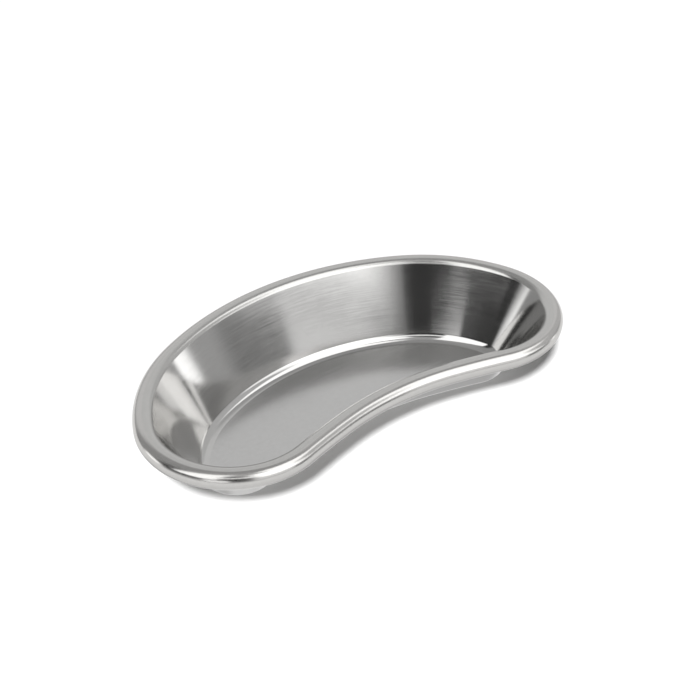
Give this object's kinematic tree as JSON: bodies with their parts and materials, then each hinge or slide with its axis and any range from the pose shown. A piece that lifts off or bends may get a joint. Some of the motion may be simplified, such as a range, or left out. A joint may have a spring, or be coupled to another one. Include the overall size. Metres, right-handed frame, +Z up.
{
  "type": "kidney dish",
  "caption": "Kidney-shaped steel dish with a flat floor, sloping walls and a rounded rim rolled under into a bead, for holding instruments, dressings or fluids.",
  "frame": {"origin": "on the surface that the dish stands on, at the middle of its length and width", "axes": "+X along the dish's length, +Y towards the convex back, with the hollow side at -Y, +Z up, out of the bowl"},
  "size_m": [0.25, 0.136, 0.04],
  "materials": {
    "floor_steel": "satin stainless steel, finely polished, with faint draw lines",
    "wall_steel": "bright drawn stainless steel, polished along the wall",
    "rim_steel": "satin stainless steel, brushed around the rim",
    "bead_steel": "bright rolled stainless steel edge"
  },
  "bodies": {
    "root": {"floor_panel": "floor_steel", "base_curve": "wall_steel", "side_wall": "wall_steel", "rim_flange": "rim_steel", "rolled_bead": "bead_steel"}
  },
  "joints": []
}
